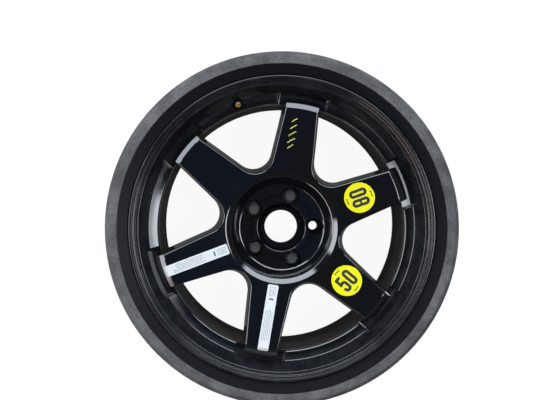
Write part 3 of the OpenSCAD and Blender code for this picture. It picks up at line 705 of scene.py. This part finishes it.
class WHEEL_OT_tyre(bpy.types.Operator):
    """Rubber of the folded tyre, with the fine radial ridges that its mould leaves beside the rim"""
    bl_idname = "wheel.tyre"
    bl_label = "Tyre"

    def execute(self, context):
        rubber = tyre_rubber(context.scene.wheel_finish)
        smooth_copy("tyre", "folded_tyre", rubber)
        self.ridges(rubber)
        return {"FINISHED"}

    @staticmethod
    def ridges(rubber):
        """Ridges on the cone between the rim and the band's edge: R and z run straight from one edge to
        the other, and each section is half an ellipse, width x cos and height x sin."""
        count, rows, across = 32, 7, 7
        width, height = 1.1 * MM, 0.55 * MM
        start = np.array([FLANGE_R + 2.4 * MM, FRONT_Z - 4.2 * MM])
        stop = np.array([BAND_R - 1.6 * MM, FRONT_Z - 0.1 * MM])
        run = (stop - start) / np.linalg.norm(stop - start)
        lift = np.array([-run[1], run[0]])
        angle = np.arange(count) * 2 * math.pi / count + math.radians(4.0)
        t = np.linspace(0, 1, rows)
        b = np.linspace(0, math.pi, across)
        a, t, b = np.meshgrid(angle, t, b, indexing="ij")
        side = width / 2 * np.cos(b)
        up = height * (np.sin(b) - 0.25) * np.minimum(1.0, 8 * np.minimum(t, 1 - t) + 0.3)
        radius = start[0] + (stop - start)[0] * t + lift[0] * up
        z = start[1] + (stop - start)[1] * t + lift[1] * up
        x = radius * np.cos(a) - side * np.sin(a)
        y = radius * np.sin(a) + side * np.cos(a)
        points = np.stack([x, y, z], -1).reshape(-1, 3)
        place = np.arange(count * rows * across).reshape(count, rows, across)
        p, q = place[:, :-1, :-1].ravel(), place[:, 1:, :-1].ravel()
        r, s = place[:, 1:, 1:].ravel(), place[:, :-1, 1:].ravel()
        foot_p, foot_q = place[:, :-1, 0].ravel(), place[:, 1:, 0].ravel()
        foot_r, foot_s = place[:, 1:, -1].ravel(), place[:, :-1, -1].ravel()
        faces = [np.column_stack([p, q, r, s]), np.column_stack([foot_s, foot_r, foot_q, foot_p])]
        ends = [place[:, 0, :], place[:, -1, ::-1]]
        faces = [row for part in faces for row in part.tolist()]
        faces += [row for part in ends for row in part.tolist()]
        mesh = bpy.data.meshes.new("tyre_ridges")
        mesh.from_pydata(points.tolist(), [], faces)
        mesh.update()
        work = bmesh.new()
        work.from_mesh(mesh)
        bmesh.ops.recalc_face_normals(work, faces=work.faces)
        work.to_mesh(mesh)
        work.free()
        mesh.shade_smooth()
        mesh.materials.append(rubber)
        link_piece("tyre_ridges", mesh)


class WHEEL_OT_bolts(bpy.types.Operator):
    """Coating on the wheel bolts"""
    bl_idname = "wheel.bolts"
    bl_label = "Wheel Bolts"

    def execute(self, context):
        steel = phosphate_steel(context.scene.wheel_finish)
        for name in BOLT_NAMES:
            dress(name, steel)
        return {"FINISHED"}


class WHEEL_OT_valve(bpy.types.Operator):
    """Rubber, brass and inner pieces of the valve"""
    bl_idname = "wheel.valve"
    bl_label = "Valve"

    def execute(self, context):
        rubber = valve_rubber()
        brass = turned_brass(context.scene.wheel_finish)
        dress("valve_rubber", rubber)
        dress("core_seal", rubber)
        for name in ("valve_stem", "core_housing", "core_pin"):
            dress(name, brass)
        dress("core_gasket", red_gasket())
        self.spring()
        return {"FINISHED"}

    @staticmethod
    def spring():
        """Wire of the core's spring, as a smoothed copy with a mesh of its own; its points are read but not
        moved.
        """
        spring = smooth_copy("core_spring", "core_spring_wire", spring_wire())
        points = read_array(spring.data.vertices, "co", 3)
        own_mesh(spring)


# Numbers: height and width of a digit, width of its stroke, and distance between two digits
DIGIT_H = 29.0 * MM
DIGIT_W = 13.1 * MM
STROKE = 4.8 * MM
DIGIT_STEP = 15.6 * MM


def digit(figure):
    """Flat outline of one digit: ribbons of one width along straight lines and arcs."""
    a, b = (DIGIT_W - STROKE) / 2, (DIGIT_H - STROKE) / 2
    corner = 3.9 * MM
    loop = [(a, b, corner), (-a, b, corner), (-a, -b, corner), (a, -b, corner)]
    if figure == "0":
        return ribbon(round_path(loop, True), STROKE, True)
    if figure == "8":
        waist = 0.9 * MM
        bend = 2.2 * MM
        loop[2:2] = [(-a, bend, 1.5 * MM), (-a + waist, 0, 1.5 * MM), (-a, -bend, 1.5 * MM)]
        loop += [(a, -bend, 1.5 * MM), (a - waist, 0, 1.5 * MM), (a, bend, 1.5 * MM)]
        inner = a - waist - STROKE / 2
        bar = ribbon(np.array([[-inner, 0.0], [inner, 0.0]]), STROKE * 0.8, False)
        return join([ribbon(round_path(loop, True), STROKE, True), bar])
    if figure == "5":
        path = [(a, b, 0), (-a, b, 0), (-a, 1.6 * MM, 0), (a, 3.4 * MM, corner), (a, -b, corner),
                (-a, -b, corner), (-a, -b + 6.5 * MM, 0)]
        return ribbon(round_path(path, False), STROKE, False)
    raise ValueError(f"no outline for {figure}")


def place_on_face(points, centre, along, up):
    """Flat points (u, v) moved to a centre with u along one direction and v along another."""
    return np.asarray(centre) + points[:, :1] * np.asarray(along) + points[:, 1:] * np.asarray(up)


def sticker_centre(node_name):
    """Middle of a sticker, seen from the front."""
    low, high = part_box(node_name)
    return (low[0] + high[0]) / 2, (low[1] + high[1]) / 2


def lay_on_spoke(name, shapes, centre, along, up, lift, ink):
    """A piece of flat shapes in one ink, laid over the face of a spoke."""
    points, faces = join(shapes)
    points = on_spoke_face(place_on_face(points, centre, along, up), lift)
    mesh = bpy.data.meshes.new(name)
    mesh.from_pydata(points.tolist(), [], faces[:, ::-1].tolist())
    mesh.update()
    mesh.materials.append(ink)
    return link_piece(name, mesh)


def round_number(name, node_name, figures, angle, ink):
    """A number whose top points towards the hub, with three small bars on either side of it, laid on a
    round sticker."""
    up = (-math.cos(angle), -math.sin(angle))
    along = (up[1], -up[0])
    shapes = []
    for i, figure in enumerate(figures):
        points, faces = digit(figure)
        points = points + np.array([(i - (len(figures) - 1) / 2) * DIGIT_STEP, 0.0])
        shapes.append((points, faces))
    for side in (-1, 1):
        for step in (-1, 0, 1):
            row = side * (20.4 - 0.35 * step * step) * MM
            bar = np.array([[(step * 3.5 - 1.25) * MM, row], [(step * 3.5 + 1.25) * MM, row]])
            shapes.append(ribbon(bar, 2.2 * MM, False))
    return lay_on_spoke(name, shapes, sticker_centre(node_name), along, up, PRINT_LIFT, ink)


def printed_lines(name, node_name, angle, seed, ink):
    """Rows of plain dashes and a lined box, laid on a white sticker."""
    along = (math.cos(angle), math.sin(angle))
    up = (-along[1], along[0])
    random = np.random.default_rng(seed)
    shapes = []
    row_places = [5.4 * MM, 2.7 * MM, 0.0, -2.7 * MM, -5.4 * MM]
    for row in row_places:
        s = -14 * MM + random.uniform(0, 6) * MM
        stop = 44 * MM - random.uniform(0, 12) * MM
        while s < stop:
            length = random.uniform(1.6, 5.5) * MM
            shapes.append(ribbon(np.array([[s, row], [s + length, row]]), 0.75 * MM, False))
            s += length + 0.9 * MM
    x0, x1, y1 = -49 * MM, -36 * MM, 4.2 * MM
    box = [(x0, y1, 0), (x0, -y1, 0), (x1, -y1, 0), (x1, y1, 0)]
    shapes.append(ribbon(round_path(box, True), 0.6 * MM, True))
    for k in (-1, 0, 1):
        line = np.array([[x0 + 2 * MM, k * 2 * MM], [x1 - 2 * MM, k * 2 * MM]])
        shapes.append(ribbon(line, 0.5 * MM, False))
    return lay_on_spoke(name, shapes, sticker_centre(node_name), along, up, PRINT_LIFT, ink)


def plain_bar(name, node_name, angle, ink):
    """A short dark bar across a white sticker, between its box and its rows of dashes."""
    along = (math.cos(angle), math.sin(angle))
    up = (-along[1], along[0])
    bar = ribbon(np.array([[-30 * MM, -4.0 * MM], [-30 * MM, 4.0 * MM]]), 2.2 * MM, False)
    return lay_on_spoke(name, [bar], sticker_centre(node_name), along, up, PRINT_LIFT, ink)


def marker_strokes(name, angle, ink):
    """Plain slanted strokes of a paint marker on a spoke's face, from near the hub to its outer end."""
    out = (math.cos(angle), math.sin(angle))
    side = (-out[1], out[0])
    shapes = []
    # Distance from the wheel's axis, slant and length of each stroke, in millimetres
    for place, slant, length in ((134, 5, 9), (144, 6, 11), (155, 6, 11), (166, 5, 10), (177, 4, 8)):
        line = np.array([[-slant / 2 - 1.5, length / 2], [0.0, 0.6], [slant / 2 + 1.5, -length / 2]])
        line = line * MM + np.array([place * MM, 9 * MM])
        shapes.append(ribbon(line, 1.5 * MM, False))
    return lay_on_spoke(name, shapes, (0.0, 0.0), out, side, MARKER_LIFT, ink)


class WHEEL_OT_stickers(bpy.types.Operator):
    """Round yellow stickers with plain numbers, white stickers with plain printed lines, marker strokes"""
    bl_idname = "wheel.stickers"
    bl_label = "Stickers"

    def execute(self, context):
        finish = context.scene.wheel_finish
        yellow = sticker_film("yellow_film", tuple(finish.yellow))
        white = sticker_film("white_film", tuple(finish.white))
        ink = sticker_film("dark_ink", tuple(finish.ink))
        pale_ink = sticker_film("grey_ink", tuple(min(1.0, c * 5.0) for c in finish.ink))
        for name in ("round_sticker_1", "round_sticker_2"):
            dress(name, yellow)
        for name in ("white_sticker_1", "white_sticker_2"):
            dress(name, white)
        round_number("number_80", "round_sticker_1", "80", SPOKE_ANGLES[0], ink)
        round_number("number_50", "round_sticker_2", "50", SPOKE_ANGLES[5], ink)
        printed_lines("printed_lines_1", "white_sticker_1", SPOKE_ANGLES[3], 3, pale_ink)
        printed_lines("printed_lines_2", "white_sticker_2", SPOKE_ANGLES[4], 4, pale_ink)
        plain_bar("plain_bar_1", "white_sticker_1", SPOKE_ANGLES[3], ink)
        plain_bar("plain_bar_2", "white_sticker_2", SPOKE_ANGLES[4], ink)
        marker_strokes("marker_strokes", SPOKE_ANGLES[1], sticker_film("marker_ink", tuple(finish.marker)))
        return {"FINISHED"}


class WHEEL_PT_panel(bpy.types.Panel):
    """Panel with the wheel's pieces and settings"""
    bl_idname = "WHEEL_PT_panel"
    bl_label = "Spare Wheel"
    bl_space_type = "VIEW_3D"
    bl_region_type = "UI"
    bl_category = "Spare Wheel"

    def draw(self, context):
        for settings in (context.scene.wheel_view, context.scene.wheel_finish):
            box = self.layout.box()
            for key in settings.bl_rna.properties.keys():
                if key not in ("rna_type", "name"):
                    box.prop(settings, key)
        for name in STEPS:
            self.layout.operator(f"wheel.{name}")


STEPS = ["stage", "casting", "tyre", "bolts", "valve", "stickers"]
CLASSES = [
    WheelViewSettings, WheelFinishSettings, WHEEL_OT_stage, WHEEL_OT_casting, WHEEL_OT_tyre,
    WHEEL_OT_bolts, WHEEL_OT_valve, WHEEL_OT_stickers, WHEEL_PT_panel,
]


def register():
    for item in CLASSES:
        bpy.utils.register_class(item)
    bpy.types.Scene.wheel_view = bpy.props.PointerProperty(type=WheelViewSettings)
    bpy.types.Scene.wheel_finish = bpy.props.PointerProperty(type=WheelFinishSettings)


def unregister():
    del bpy.types.Scene.wheel_finish
    del bpy.types.Scene.wheel_view
    for item in reversed(CLASSES):
        bpy.utils.unregister_class(item)


def main():
    register()
    for name in STEPS:
        getattr(bpy.ops.wheel, name)()


if __name__ == "__main__":
    main()
